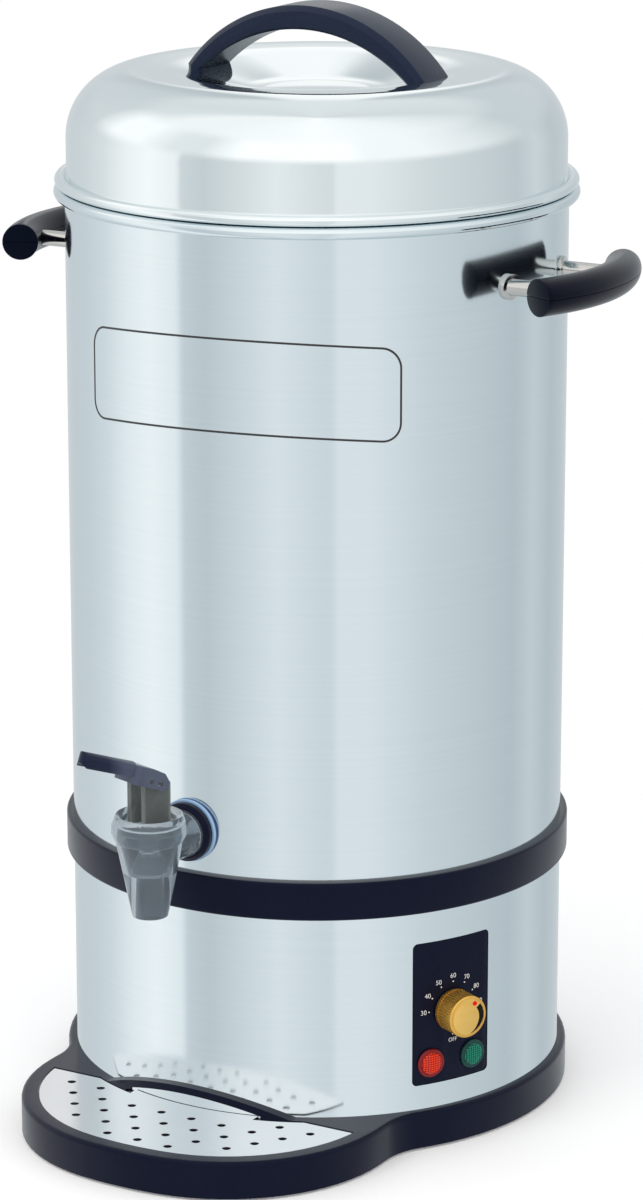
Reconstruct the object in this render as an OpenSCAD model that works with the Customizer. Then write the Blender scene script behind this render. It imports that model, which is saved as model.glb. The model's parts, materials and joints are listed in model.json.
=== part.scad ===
// Mulled wine kettle: heated steel tank on a black base with a drip tray,
// a lever tap at the front, side handles and a lift-off domed lid.
// Origin on the tank axis at the standing plane, +Z up, tap towards -Y.

/* [Tank] */
// Outer radius of the tank and of the skirt below it
tank_r = 140; // [120:1:170]
// Thickness of the steel sheet
sheet = 1; // [0.8:0.1:1.5]
// Height of the tank floor above the standing plane
tank_floor_z = 160; // [150:1:170]
// Height of the underside of the rolled rim
tank_rim_z = 515; // [440:1:600]
// Section radius of the rolled rim
rim_bead_r = 3.3; // [2.5:0.1:4]

/* [Lid] */
// Gap between the rolled rim and the lid's own bead
lid_seat_gap = 0.3; // [0.2:0.1:0.5]
// Section radius of the lid's bead
lid_bead_r = 3; // [2.5:0.1:4]
// Clearance of the lid's locating ring inside the tank
lid_spigot_gap = 1.2; // [0.8:0.1:2]
// Depth of the locating ring below the bead
lid_spigot_h = 10; // [6:1:16]
// How far the lid's wall stands inside the tank's outer radius
lid_wall_set = 1.1; // [0.5:0.1:3]
// Height of the lid's straight wall above the bead's middle
lid_wall_h = 23.1; // [12:0.1:30]
// Radius of the rounded shoulder
lid_shoulder_r = 38; // [30:0.1:50]
// Radius of the crest around the dish
lid_crest_r = 100; // [90:0.1:104]
// Radius of the dish's edge
dish_r = 80; // [76:1:86]
// Drop from the crest to the dish's edge
dish_drop = 0.8; // [0.4:0.1:3]
// Radius of the flat dish floor
dish_floor_r = 34; // [26:1:44]
// Drop from the dish's edge to its floor
dish_floor_drop = 11; // [7:0.1:14]

/* [Lid handle] */
// Half length of the strap between its outer ends
strap_half_len = 75; // [66:0.5:76]
// Width of the strap
strap_w = 33; // [26:1:40]
// Rise of the strap's top above its feet
strap_rise = 37; // [32:0.5:48]
// Thickness of the strap at its top
strap_t = 13; // [9:0.5:15]
// Length of each foot under the strap's end
strap_foot = 12; // [10:0.5:14]
// Chamfer along the strap's edges
strap_chamfer = 3; // [1:0.5:4]
// Diameter of the lid handle's screws
lid_screw_d = 3; // [2.5:0.5:4]
// How far the lid handle's screws reach into its feet
lid_screw_in = 4.5; // [3:0.5:6]
// Distance of a lid screw's middle from the strap's inner edge
lid_screw_inset = 4.5; // [4:0.5:6]

/* [Side handles] */
// Height of the side handles
handle_z = 481; // [420:1:500]
// Half distance between the two posts of a handle
post_y = 31; // [26:1:36]
// Diameter of a post
post_d = 9; // [7:0.5:11]
// Diameter of a post's foot on the tank
post_foot_d = 14; // [12:0.5:18]
// Diameter of the grip
grip_d = 20.4; // [17:0.2:24]
// Half length of the grip, square to the posts
grip_half_len = 51; // [45:1:60]
// Angle from the grip's middle to its end
grip_half_angle = 27; // [20:1:35]
// Distance from the tank to the middle of the grip's end
grip_gap = 24.5; // [22:0.5:30]
// Groove between the grip's two halves
grip_seam = 0.3; // [0.2:0.1:0.6]
// Diameter of the screws that hold the posts
handle_screw_d = 5; // [4:0.5:6]

/* [Belt] */
// Height of the belt's lower edge
belt_z = 138.5; // [130:0.5:145]
// Height of the belt
belt_h = 21.5; // [16:0.5:24]
// How far the belt stands out from the tank
belt_t = 4; // [3:0.1:6]
// Bevel along the belt's edges
belt_bevel = 1.5; // [0.5:0.1:2]

/* [Base] */
// Height that the feet lift the base
foot_lift = 1.5; // [1:0.5:4]
// Diameter of a foot
foot_d = 11; // [8:0.5:14]
// Height of the base's top
base_top = 22.5; // [20:0.5:28]
// How far the base ring stands out from the skirt
ring_out = 5; // [3:0.1:7]
// Width of the base ring below the skirt
ring_w = 20.5; // [18:0.5:23]
// Rounding of the base's top edge
base_round = 2.5; // [1:0.1:4]
// Reach of the drip tray from the tank's axis
tray_reach = 216; // [208:1:225]
// Half width of the drip tray
tray_half_w = 108.5; // [102:0.5:112]
// Radius of the drip tray's front
tray_front_r = 197; // [180:1:220]
// Radius of the drip tray's corners
tray_corner_r = 96; // [85:1:98]
// Radius of the hollow between tray and ring
tray_fillet_r = 40; // [25:1:42]
// Width of the rim around the drip plate
tray_rim_w = 9.5; // [7:0.5:12]
// Depth of the bowl below the tray's rim
bowl_depth = 14.5; // [10:0.5:15]
// Width of the ledge that carries the plate
ledge_w = 4; // [3:0.5:6]
// Rise of the arched lip in front of the skirt
lip_rise = 12.5; // [8:0.5:14]
// Half width of the arched lip
lip_half_w = 60; // [45:1:65]
// Thickness of the arched lip
lip_t = 4.2; // [3:0.1:5]
// How far the lip stands out from the skirt
lip_out = 6; // [4:0.1:7]

/* [Drip plate] */
// Thickness of the drip plate
plate_t = 1.2; // [1:0.1:2]
// Clearance around the drip plate
plate_gap = 0.5; // [0.4:0.1:1]
// How far the plate lies below the rim
plate_sink = 0.6; // [0.3:0.1:1.5]
// Diameter of a drain hole
drain_d = 4.8; // [3:0.1:6]
// Distance between drain holes in a row
drain_pitch = 19.5; // [16:0.5:26]
// Distance between rows of drain holes
drain_row = 13.5; // [10:0.5:18]
// Half width of the plate's tongue under the lip
tongue_half_w = 40; // [28:1:44]
// Gap between the skirt and the lip in front of it
skirt_gap = 0.3; // [0.2:0.1:0.6]

/* [Control panel] */
// Angle of the panel from the front, towards +X
panel_angle = 62.5; // [45:0.5:80]
// Height of the panel's middle
panel_z = 78.2; // [74:0.1:84]
// Width of the panel's field
panel_w = 50.6; // [46:0.1:56]
// Height of the panel's field
panel_h = 83.5; // [78:0.5:90]
// Rounding of the panel's corners
panel_corner = 3; // [1:0.5:6]
// Border of the panel behind the skirt
panel_border = 4; // [3:0.5:6]
// Thickness of the panel's border
panel_t = 2.4; // [2:0.1:4]
// Gap between the panel's field and the cut-out
panel_gap = 0.3; // [0.2:0.1:0.5]
// Diameter of the knob
knob_d = 24; // [20:0.5:28]
// Height of the knob
knob_h = 15; // [11:0.5:20]
// Gap between the knob and the panel
knob_gap = 0.6; // [0.4:0.1:1.5]
// Chamfer around the knob's face
knob_edge = 0.7; // [0.3:0.1:2]
// Width of the rim around the knob's face
knob_rim = 1.5; // [1:0.1:3]
// Diameter of the disc set off centre in the knob's face
knob_face_d = 17.4; // [14:0.1:19]
// Direction that the disc is set towards, clockwise from the top
knob_face_turn = 245; // [0:5:360]
// Number of flutes around the knob
knob_flutes = 48; // [18:1:60]
// Diameter of the thermostat's shaft
shaft_d = 6; // [4:0.5:8]
// Diameter of the thermostat's threaded bush
bush_d = 10; // [9:0.5:12]
// Diameter of a lamp's lens
lamp_d = 15; // [12:0.5:17]
// Distance between the lamps
lamp_pitch = 27.8; // [24:0.1:32]
// How far the lamps sit below the knob's middle
lamp_drop = 29.4; // [26:0.1:32]
// Running clearance of a shaft or pin in its bore, on the radius
run_gap = 0.05; // [0.02:0.01:0.1]

/* [Tap] */
// Height of the tap's shank
tap_z = 184; // [180:0.5:192]
// Distance of the tap's spout from the tank's wall
tap_out = 41; // [38:0.5:48]
// Diameter of the shank through the tank wall
shank_d = 20; // [16:0.5:22]
// Diameter of the passage in the shank
passage_d = 9; // [6:0.5:10]
// Diameter of the tap's washers
washer_d = 35; // [30:0.5:40]
// Thickness of the tap's washers
washer_t = 2.5; // [1.5:0.1:4]
// Thickness of the collar against the washer
collar_t = 5; // [3:0.5:7]
// Radius of the body's top
cup_r = 18; // [16:0.2:20]
// Radius of the spout's mouth
spout_r = 9.75; // [8:0.25:11]
// Height of the tapered body
cup_h = 42.5; // [36:0.5:48]
// How far the body's top stands above the shank
cup_rise = 5.5; // [4:0.5:8]
// Wall of the tap's body
cup_wall = 2.2; // [1.6:0.1:3]
// Radius of the bonnet's bulge
bonnet_r = 20.5; // [18:0.1:23]
// Height of the bonnet
bonnet_h = 15; // [12:0.5:18]
// Angle of the lever from the tap's front, towards +X
lever_angle = -19; // [-40:1:40]
// Tilt of the lever above level at rest
lever_tilt = 20; // [10:1:30]
// Length of the lever from its pivot to its tip
lever_len = 44; // [36:1:60]
// Width of the fork bracket
fork_w = 15.5; // [14:0.5:18]
// Depth of the fork bracket
fork_depth = 17.5; // [15:0.5:18]
// Width of the fork's channel
fork_channel = 8.5; // [7:0.5:10]
// Height of the pivot above the bonnet's top
pivot_rise = 21.5; // [18:0.5:24]
// Distance from the stem to the pivot
pivot_out = 6; // [5:0.1:7]
// Diameter of the lever's pivot pin
pivot_d = 3; // [2.5:0.1:4]
// Diameter of the pin across the stem
stem_pin_d = 2.4; // [2:0.1:3]
// Diameter of the valve stem
stem_d = 5; // [4:0.2:6]
// Gap beside the fork's cheeks and inside its slots
lever_gap = 0.3; // [0.2:0.05:0.5]
// Thickness of the lever's side plates
lever_wall = 2.2; // [1.6:0.1:3]
// How far the lever's head reaches behind the stem
head_tail = 6.5; // [5:0.5:12]
// How far the lever's side plates reach below the pivot
head_drop = 3.4; // [3:0.1:5]
// Turns of the return spring
spring_turns = 6; // [4:1:9]
// Wire diameter of the return spring
spring_wire = 1; // [0.7:0.1:1.2]

/* [Heating] */
// Side of the thermostat's case
thermostat_w = 38; // [30:1:44]
// Depth of the thermostat's case
thermostat_depth = 27; // [20:1:32]
// Diameter of the sensor bulb
bulb_d = 6.5; // [5:0.5:8]
// Length of the sensor bulb
bulb_len = 80; // [60:1:100]
// Distance of the bulb behind the tank's axis
bulb_y = 22; // [16:1:30]
// Diameter of the safety cut-out
cutout_d = 16; // [14:1:20]
// Height of the safety cut-out
cutout_h = 12; // [8:1:16]
// Distance of the cut-out in front of the tank's axis
cutout_y = 20; // [14:1:30]
// Width of the terminal block
terminal_w = 36; // [30:1:44]
// Height of the terminal block
terminal_h = 18; // [14:1:24]
// Length of the element's cold ends below its tube
cold_end = 22; // [16:1:30]
// Radius of the plate that carries the element
element_plate_r = 80; // [70:1:100]
// Thickness of that plate
element_plate_t = 5; // [3:0.5:8]
// Radius of the element's loop
element_r = 62; // [50:1:68]
// Diameter of the element's tube
element_d = 8.5; // [6.5:0.5:10]
// Bore of the cable gland
gland_bore_d = 8; // [6:0.5:9]
// Height of the cable gland
gland_z = 50; // [46:1:70]

/* [Hidden] */
$fn = 72;
eps = 0.02;
far = 400;

// Lid heights, from the rim up
rim_top = tank_rim_z + 2 * rim_bead_r;
lid_bead_z = rim_top + lid_seat_gap + lid_bead_r;
lid_wall_r = tank_r - lid_wall_set;
shoulder_z = lid_bead_z + lid_wall_h;
crest_z = shoulder_z + lid_shoulder_r;
dish_z = crest_z - dish_drop;
dish_floor_z = dish_z - dish_floor_drop;
dish_slope = dish_floor_drop / (dish_r - dish_floor_r);
strap_z = dish_z - (dish_r - strap_half_len) * dish_slope;
strap_outer_r = (strap_half_len * strap_half_len + strap_rise * strap_rise) / (2 * strap_rise);
strap_inner_x = strap_half_len - strap_foot;
strap_inner_rise = strap_rise - strap_t;
strap_inner_r = (strap_inner_x * strap_inner_x + strap_inner_rise * strap_inner_rise)
    / (2 * strap_inner_rise);
lid_screw_x = strap_inner_x + lid_screw_inset;
lid_screw_z = dish_floor_z - sheet + (lid_screw_x - lid_screw_d - dish_floor_r) * dish_slope;

// Grip arc, centred on the handle's plane
grip_end_x = tank_r + grip_gap;
grip_arc_r = grip_half_len / sin(grip_half_angle);
grip_arc_x = grip_end_x - grip_arc_r * cos(grip_half_angle);
grip_post_x = grip_arc_x + sqrt(grip_arc_r * grip_arc_r - post_y * post_y);

// Base plan: ring, tray and the hollows between them
ring_r = tank_r + ring_out;
front_y = tray_front_r - tray_reach;
corner_x = tray_half_w - tray_corner_r;
corner_y = front_y - sqrt(pow(tray_front_r - tray_corner_r, 2) - corner_x * corner_x);
fillet_x = tray_half_w + tray_fillet_r;
fillet_y = -sqrt(pow(ring_r + tray_fillet_r, 2) - fillet_x * fillet_x);
ring_inner_r = ring_r - ring_w;
cover_r = ring_inner_r + 6;
cover_t = 1.4;
cover_z = foot_lift + 1.6;
spigot_h = 8;
spigot_t = 5;
lip_r = (lip_half_w * lip_half_w + lip_rise * lip_rise) / (2 * lip_rise);
lip_z = base_top + lip_rise - lip_r;
plate_top = base_top - plate_sink;
plate_z = plate_top - plate_t;
bowl_z = base_top - bowl_depth;
inner_edge_r = tank_r + lip_out;
tongue_r = tank_r + skirt_gap;
tray_back_y = fillet_y - 19.5;
mouth_half_w = tongue_half_w + 4;
foot_r = (ring_r + cover_r) / 2;
foot_sites = [for (a = [50, 130, 230, 310]) [foot_r * sin(a), -foot_r * cos(a)]];
tray_foot_x = 62;
tray_foot_y = front_y - tray_front_r + 40;
screw_r = (ring_inner_r + cover_r) / 2;
joint_z = belt_z + belt_h / 2;

// Points on an arc, angles from -Y towards +X
function arc(x, y, r, from, to, n, first = 0) =
    [for (i = [first : n]) let (a = from + (to - from) * i / n) [x + r * sin(a), y - r * cos(a)]];
// Right half of the base's outline from the front to the rear, drawn in by d
corner_a = atan2(corner_x, front_y - corner_y);
fillet_a = atan2(fillet_x, -fillet_y);
function base_half(d) = concat(
    arc(0, front_y, tray_front_r - d, 0, corner_a, 8),
    arc(corner_x, corner_y, tray_corner_r - d, corner_a, 90, 16, 1),
    arc(fillet_x, fillet_y, tray_fillet_r + d, -90, fillet_a - 180, 10),
    arc(0, 0, ring_r - d, fillet_a, 180, 32, 1));
// The whole outline, both halves
function base_outline(d) = let (half = base_half(d))
    concat(half, [for (i = [len(half) - 2 : -1 : 1]) [-half[i][0], half[i][1]]]);

// Panel frame
panel_face_r = tank_r - panel_gap;
panel_back_r = tank_r - sheet - panel_gap - panel_t;
nut_t = 3;
knob_recess_d = knob_d - 2 * knob_rim;
lamp_z = panel_z - lamp_drop;
lamp_angle = asin(lamp_pitch / 2 / tank_r);

// Tap, from the shank up
tap_reach = tank_r + tap_out;
cup_top = tap_z + cup_rise;
spout_z = cup_top - cup_h;
bonnet_top = cup_top + bonnet_h;
guide_z = bonnet_top - 9;
guide_t = 3;
pivot_z = bonnet_top + pivot_rise;
link_arm = pivot_out / cos(lever_tilt);
link_z = pivot_z - pivot_out * tan(lever_tilt);
seat_z = tap_z - 12;
seat_gap = 0.3;
seat_cup_h = 9;
neck_ring_r = cup_r - cup_wall / 2;
fork_cheek = (fork_w - fork_channel) / 2;
head_w = fork_w + 2 * (lever_gap + lever_wall);
collar_y = tank_r + washer_t;
neck_y = collar_y + collar_t;
spring_r = 5.6;
spring_low = seat_z + seat_gap + seat_cup_h + spring_wire / 2;
spring_high = guide_z - spring_wire / 2;

steel = "#c9cdd0";
black = "#15181f";
smoke = "#5b6670";

// A ring with a square section
module tube(outer, inner, low, high) {
    translate([0, 0, low])
        difference() {
            cylinder(r = outer, h = high - low);
            translate([0, 0, -1]) cylinder(r = inner, h = high - low + 2);
        }
}

// Children on the wall at an angle from the front, local +Z pointing outwards
module on_wall(angle, z) {
    rotate([0, 0, angle]) translate([0, 0, z]) rotate([90, 0, 0]) children();
}

// A rectangle with rounded corners
module round_rect(w, h, r) {
    square([w - 2 * r, h], center = true);
    square([w, h - 2 * r], center = true);
    for (x = [-1, 1], y = [-1, 1]) translate([x * (w / 2 - r), y * (h / 2 - r)]) circle(r);
}

// Tank

module tank_shell() {
    color(steel) difference() {
        union() {
            rotate_extrude() {
                translate([tank_r - sheet, joint_z + eps])
                    square([sheet, tank_rim_z + rim_bead_r - joint_z]);
                translate([0, tank_floor_z]) square([tank_r - sheet / 2, sheet]);
                translate([tank_r + rim_bead_r - sheet / 2, tank_rim_z + rim_bead_r]) circle(rim_bead_r);
            }
        }
        on_wall(0, tap_z) cylinder(d = shank_d + 2 * lever_gap, h = far);
        for (side = [-90, 90], y = [-post_y, post_y])
            on_wall(side, handle_z) translate([y, 0, 0]) cylinder(d = handle_screw_d + lever_gap, h = far);
    }
}

module belt_ring() {
    color(black) rotate_extrude() polygon([
        [tank_r, belt_z], [tank_r + belt_t - belt_bevel / 2, belt_z], [tank_r + belt_t, belt_z + belt_bevel],
        [tank_r + belt_t, belt_z + belt_h - belt_bevel],
        [tank_r + belt_t - belt_bevel, belt_z + belt_h], [tank_r, belt_z + belt_h]]);
}

module joint_band() {
    color("silver") tube(tank_r - sheet, tank_r - 2.5 * sheet, belt_z + 1, belt_z + belt_h - 1);
}

// Base

// The base's outer form: the outline in rings, drawn in at the top by the edge's rounding
module base_form() {
    rings = concat([[0, foot_lift]],
        [for (k = [0 : 3]) [base_round * (1 - cos(30 * k)), base_top - base_round * (1 - sin(30 * k))]]);
    n = len(base_outline(0));
    top = (len(rings) - 1) * n;
    points = [for (g = rings) for (p = base_outline(g[0])) [p[0], p[1], g[1]]];
    faces = concat([[for (i = [0 : n - 1]) i]], [[for (i = [n - 1 : -1 : 0]) top + i]],
        [for (k = [0 : len(rings) - 2], i = [0 : n - 1])
            [k * n + i, k * n + n + i, k * n + n + (i + 1) % n]],
        [for (k = [0 : len(rings) - 2], i = [0 : n - 1])
            [k * n + i, k * n + n + (i + 1) % n, k * n + (i + 1) % n]]);
    polyhedron(points, faces, convexity = 6);
}

// Area of the plate, drawn in from the tray's edge by d
module plate_area(d) {
    difference() {
        intersection() {
            polygon(base_outline(d));
            translate([-far, tray_back_y + tray_rim_w - d - far]) square([2 * far, far]);
        }
        circle(inner_edge_r + d - tray_rim_w);
    }
}

// Space under the arched lip, seen from the front
module lip_arch(t) {
    intersection() {
        translate([0, lip_z]) circle(lip_r - t, $fn = 144);
        translate([-far, base_top - bowl_depth / 3]) square([2 * far, far]);
    }
}

module base_moulding() {
    color(black) difference() {
        union() {
            base_form();
            tube(tank_r - sheet - 0.3, tank_r - sheet - 0.3 - spigot_t, base_top - 1, base_top + spigot_h);
            intersection() {
                rotate([90, 0, 0]) linear_extrude(far) lip_arch(0);
                tube(inner_edge_r, tongue_r, base_top - 1, far);
            }
        }
        translate([0, 0, -1]) cylinder(r = ring_inner_r, h = base_top + 1 + plate_sink / 2);
        translate([0, 0, -1]) cylinder(r = cover_r, h = cover_z + cover_t + 1);
        translate([0, 0, plate_z]) linear_extrude(far) plate_area(tray_rim_w);
        translate([0, 0, bowl_z]) linear_extrude(far) plate_area(tray_rim_w + ledge_w);
        intersection() {
            rotate([90, 0, 0]) linear_extrude(far) intersection() {
                lip_arch(lip_t);
                translate([-mouth_half_w, plate_z]) square([2 * mouth_half_w, far]);
            }
            tube(inner_edge_r + ledge_w, tank_r - sheet - 0.15, plate_z, far);
        }
        for (p = foot_sites) translate([p[0], p[1], -1]) cylinder(d = foot_d, h = foot_lift + 4);
        for (s = [-1, 1]) translate([s * tray_foot_x, tray_foot_y, -1])
            cylinder(d = foot_d, h = foot_lift + 4);
        for (a = [45 : 90 : 315]) rotate([0, 0, a]) translate([screw_r, 0, 0]) cylinder(d = 3, h = 14);
    }
}

// The skirt stands on the moulding, and a tab in front reaches down to close the mouth
module base_skirt() {
    color(steel) difference() {
        tube(tank_r, tank_r - sheet, plate_z, joint_z - eps);
        difference() {
            cylinder(r = far, h = base_top);
            translate([0.5 - mouth_half_w, -far, 0]) cube([2 * mouth_half_w - 1, far, far]);
        }
        on_wall(panel_angle, panel_z) linear_extrude(far) round_rect(panel_w, panel_h, panel_corner);
        on_wall(180, gland_z) cylinder(d = gland_bore_d + 8, h = far);
    }
}

module bottom_cover() {
    color("dimgray") difference() {
        translate([0, 0, cover_z]) cylinder(r = cover_r - 0.3, h = cover_t);
        for (a = [45 : 90 : 315]) rotate([0, 0, a]) translate([screw_r, 0, 0]) cylinder(d = 3.4, h = 14);
    }
}

module base_screws() {
    color("silver") for (a = [45 : 90 : 315]) rotate([0, 0, a]) translate([screw_r, 0, 0]) {
        translate([0, 0, cover_z - 1.4]) cylinder(d = 5, h = 1.4);
        translate([0, 0, cover_z - 0.1]) cylinder(d = 2.9, h = 9);
    }
}

module feet() {
    color("#222222") {
        for (p = foot_sites) translate([p[0], p[1], 0]) foot();
        for (s = [-1, 1]) translate([s * tray_foot_x, tray_foot_y, 0]) foot();
    }
}

module foot() {
    cylinder(d1 = foot_d - 2, d2 = foot_d - 0.4, h = foot_lift);
    translate([0, 0, foot_lift - eps]) cylinder(d = foot_d - 0.4, h = 3);
}

module drip_plate() {
    color("#dfe3e6") translate([0, 0, plate_z]) linear_extrude(plate_t) difference() {
        union() {
            plate_area(tray_rim_w + plate_gap);
            difference() {
                intersection() {
                    translate([-tongue_half_w, -far]) square([2 * tongue_half_w, far]);
                    circle(inner_edge_r + 1);
                }
                circle(tank_r + plate_gap);
            }
        }
        drain_holes();
    }
}

// Staggered rows of drain holes, kept clear of the plate's edges
module drain_holes() {
    for (row = [0 : 5], k = [-6 : 6]) {
        x = (k + (row % 2) / 2) * drain_pitch;
        y = -tongue_r - drain_d / 2 - row * drain_row;
        if (drain_fits(x, y)) translate([x, y]) circle(d = drain_d, $fn = 24);
    }
}

function drain_fits(x, y) = let (edge = tray_rim_w + drain_d + 3)
    norm([x, y]) > (abs(x) < tongue_half_w - drain_d ? tongue_r : inner_edge_r) + drain_d / 2 + 1.5
    && y < tray_back_y - drain_d && abs(x) < tray_half_w - edge
    && norm([x, y - front_y]) < tray_front_r - edge
    && (abs(x) < corner_x || norm([abs(x) - corner_x, y - corner_y]) < tray_corner_r - edge);

// Lid

// Filled half section of the lid, drawn in by d
module lid_section(d) {
    difference() {
        translate([0, lid_bead_z - 1]) square([lid_wall_r - d, crest_z - d - lid_bead_z + 1]);
        translate([lid_wall_r - lid_shoulder_r, shoulder_z]) difference() {
            square(far);
            circle(lid_shoulder_r - d, $fn = 144);
        }
        polygon([[0, far * 2], [0, dish_floor_z - d], [dish_floor_r, dish_floor_z - d],
            [dish_r, dish_z - d], [lid_crest_r, crest_z - d], [lid_crest_r, far * 2]]);
    }
}

module lid_shell() {
    color(steel) difference() {
        rotate_extrude() {
            difference() {
                lid_section(0);
                lid_section(sheet);
                translate([0, lid_bead_z - 2]) square([lid_wall_r - sheet, 3]);
            }
            translate([tank_r + lid_bead_r - sheet / 2, lid_bead_z]) circle(lid_bead_r);
            translate([tank_r - sheet - lid_spigot_gap - sheet, lid_bead_z - sheet / 2])
                square([sheet + lid_spigot_gap + lid_bead_r, sheet]);
            translate([tank_r - 2 * sheet - lid_spigot_gap, lid_bead_z - lid_spigot_h])
                square([sheet, lid_spigot_h]);
        }
        for (s = [-1, 1]) translate([s * lid_screw_x, 0, dish_floor_z - 5])
            cylinder(d = lid_screw_d + 0.3, h = 20);
    }
}

// A wheel lying along Y with chamfered or flared edges
module strap_wheel(r, bevel) {
    half = strap_w / 2;
    rotate([90, 0, 0]) rotate_extrude($fn = 144) polygon([[0, -half], [r - bevel, -half],
        [r, -half + abs(bevel)], [r, half - abs(bevel)], [r - bevel, half], [0, half]]);
}

module lid_handle() {
    color(black) difference() {
        intersection() {
            translate([0, 0, strap_z + strap_rise - strap_outer_r])
                strap_wheel(strap_outer_r, strap_chamfer);
            translate([-far, -far, strap_z - 5]) cube([2 * far, 2 * far, far]);
        }
        translate([0, 0, strap_z + strap_inner_rise - strap_inner_r])
            strap_wheel(strap_inner_r, -strap_chamfer / 2);
        rotate_extrude() polygon([[0, 0], [lid_crest_r, 0], [lid_crest_r, crest_z], [dish_r, dish_z],
            [dish_floor_r, dish_floor_z], [0, dish_floor_z]]);
        for (s = [-1, 1]) translate([s * lid_screw_x, 0, lid_screw_z])
            cylinder(d = lid_screw_d, h = strap_z + lid_screw_in + 1 - lid_screw_z);
    }
}

module lid_handle_screws() {
    color("silver") for (s = [-1, 1]) translate([s * lid_screw_x, 0, lid_screw_z]) {
        translate([0, 0, -0.1])
            cylinder(d = lid_screw_d - 0.1, h = strap_z + lid_screw_in + 0.1 - lid_screw_z);
        translate([0, 0, -2.6]) cylinder(d = 2 * lid_screw_d, h = 2.6);
    }
}

// Side handles

// Both posts of the handle on side s
module posts(s) {
    color("#e2e5e8") for (y = [-post_y, post_y]) difference() {
        union() {
            translate([s * tank_r / 2, y, handle_z]) rotate([0, s * 90, 0])
                cylinder(d = post_d, h = grip_post_x + 2 - tank_r / 2);
            intersection() {
                translate([s * tank_r / 2, y, handle_z]) rotate([0, s * 90, 0])
                    cylinder(d = post_foot_d, h = tank_r / 2 + 1);
                cylinder(r = tank_r + 2.2, h = far * 2);
            }
        }
        cylinder(r = tank_r, h = far * 2);
        translate([0, y, handle_z]) rotate([0, s * 90, 0]) cylinder(d = handle_screw_d, h = tank_r + 12);
    }
}

module left_posts() posts(-1);
module right_posts() posts(1);

// One half of the grip on side s, above (half = 1) or below (half = -1) the seam
module grip(s, half) {
    color(black) difference() {
        translate([s * grip_arc_x, 0, handle_z]) rotate([0, 0, (s > 0 ? 0 : 180) - grip_half_angle])
            rotate_extrude(angle = 2 * grip_half_angle, $fn = 144) translate([grip_arc_r, 0])
                intersection() {
                    circle(d = grip_d);
                    translate([-grip_d, half > 0 ? grip_seam / 2 : -grip_d - grip_seam / 2])
                        square([2 * grip_d, grip_d]);
                }
        for (y = [-post_y, post_y]) translate([0, y, handle_z]) rotate([0, s * 90, 0])
            cylinder(d = post_d + 0.1, h = grip_post_x + 2.2);
    }
}

module left_grip_upper() grip(-1, 1);
module left_grip_lower() grip(-1, -1);
module right_grip_upper() grip(1, 1);
module right_grip_lower() grip(1, -1);

module handle_screws() {
    color("silver") for (s = [-1, 1], y = [-post_y, post_y]) {
        wall_x = sqrt(pow(tank_r - sheet, 2) - pow(abs(y) + handle_screw_d, 2));
        translate([s * (wall_x - 3), y, handle_z]) rotate([0, s * 90, 0]) {
            cylinder(d = 2 * handle_screw_d, h = 3);
            cylinder(d = handle_screw_d - 0.1, h = 14);
        }
    }
}

// Control panel

module control_panel() {
    color("#10131c") difference() {
        union() {
            intersection() {
                tube(panel_back_r + panel_t, panel_back_r, 0, far);
                on_wall(panel_angle, panel_z) linear_extrude(far)
                    round_rect(panel_w + 2 * panel_border, panel_h + 2 * panel_border, panel_corner);
            }
            intersection() {
                tube(panel_face_r, panel_back_r + eps, 0, far);
                on_wall(panel_angle, panel_z) linear_extrude(far)
                    round_rect(panel_w - 2 * panel_gap, panel_h - 2 * panel_gap, panel_corner);
            }
        }
        on_wall(panel_angle, panel_z) cylinder(d = bush_d + 0.2, h = far);
        for (s = [-1, 1]) on_wall(panel_angle + s * lamp_angle, lamp_z) cylinder(d = lamp_d - 2, h = far);
    }
}

module thermostat() {
    color("#8d8f92") difference() {
        union() {
            on_wall(panel_angle, panel_z) translate([0, 0, panel_back_r - thermostat_depth - 2.5])
                linear_extrude(thermostat_depth) round_rect(thermostat_w, thermostat_w, 3);
            on_wall(panel_angle, panel_z) translate([0, 0, panel_back_r - 4])
                cylinder(d = bush_d, h = tank_r + nut_t + 1 - panel_back_r + 3);
        }
        on_wall(panel_angle, panel_z) translate([0, 0, panel_back_r - 18])
            cylinder(d = shaft_d + 2 * run_gap, h = far);
    }
}

module thermostat_nut() {
    color("silver") difference() {
        on_wall(panel_angle, panel_z) translate([0, 0, panel_face_r])
            cylinder(d = bush_d + 6, h = nut_t, $fn = 6);
        on_wall(panel_angle, panel_z) cylinder(d = bush_d + 0.1, h = far);
    }
}

module thermostat_shaft() {
    color("silver") on_wall(panel_angle, panel_z) translate([0, 0, panel_back_r - 17.5])
        cylinder(d = shaft_d, h = tank_r + knob_gap + knob_h - 4 - panel_back_r + 17.5);
}

module knob() {
    color("#c9a13b") on_wall(panel_angle, panel_z) translate([0, 0, tank_r + knob_gap]) difference() {
        rotate_extrude() polygon([[0, 0], [knob_d / 2, 0], [knob_d / 2, knob_h - knob_edge],
            [knob_d / 2 - knob_edge, knob_h], [0, knob_h]]);
        translate([0, 0, -1]) cylinder(d = bush_d + 7.5, h = nut_t + 2.5);
        cylinder(d = shaft_d, h = knob_h - 4);
        translate([0, 0, knob_h - 1]) cylinder(d = knob_recess_d, h = 2);
        for (k = [0 : knob_flutes - 1]) rotate([0, 0, k * 360 / knob_flutes])
            translate([knob_d / 2 + 0.25, 0, 2]) cylinder(r = 0.6, h = knob_h - 4, $fn = 16);
    }
}

module knob_face() {
    color("#d8b24c") on_wall(panel_angle, panel_z) translate([0, 0, tank_r + knob_gap + knob_h - 1])
        rotate([0, 0, -knob_face_turn]) translate([0, (knob_recess_d - knob_face_d) / 2 - 0.1, 0])
            cylinder(d = knob_face_d, h = 1.1);
}

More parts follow.
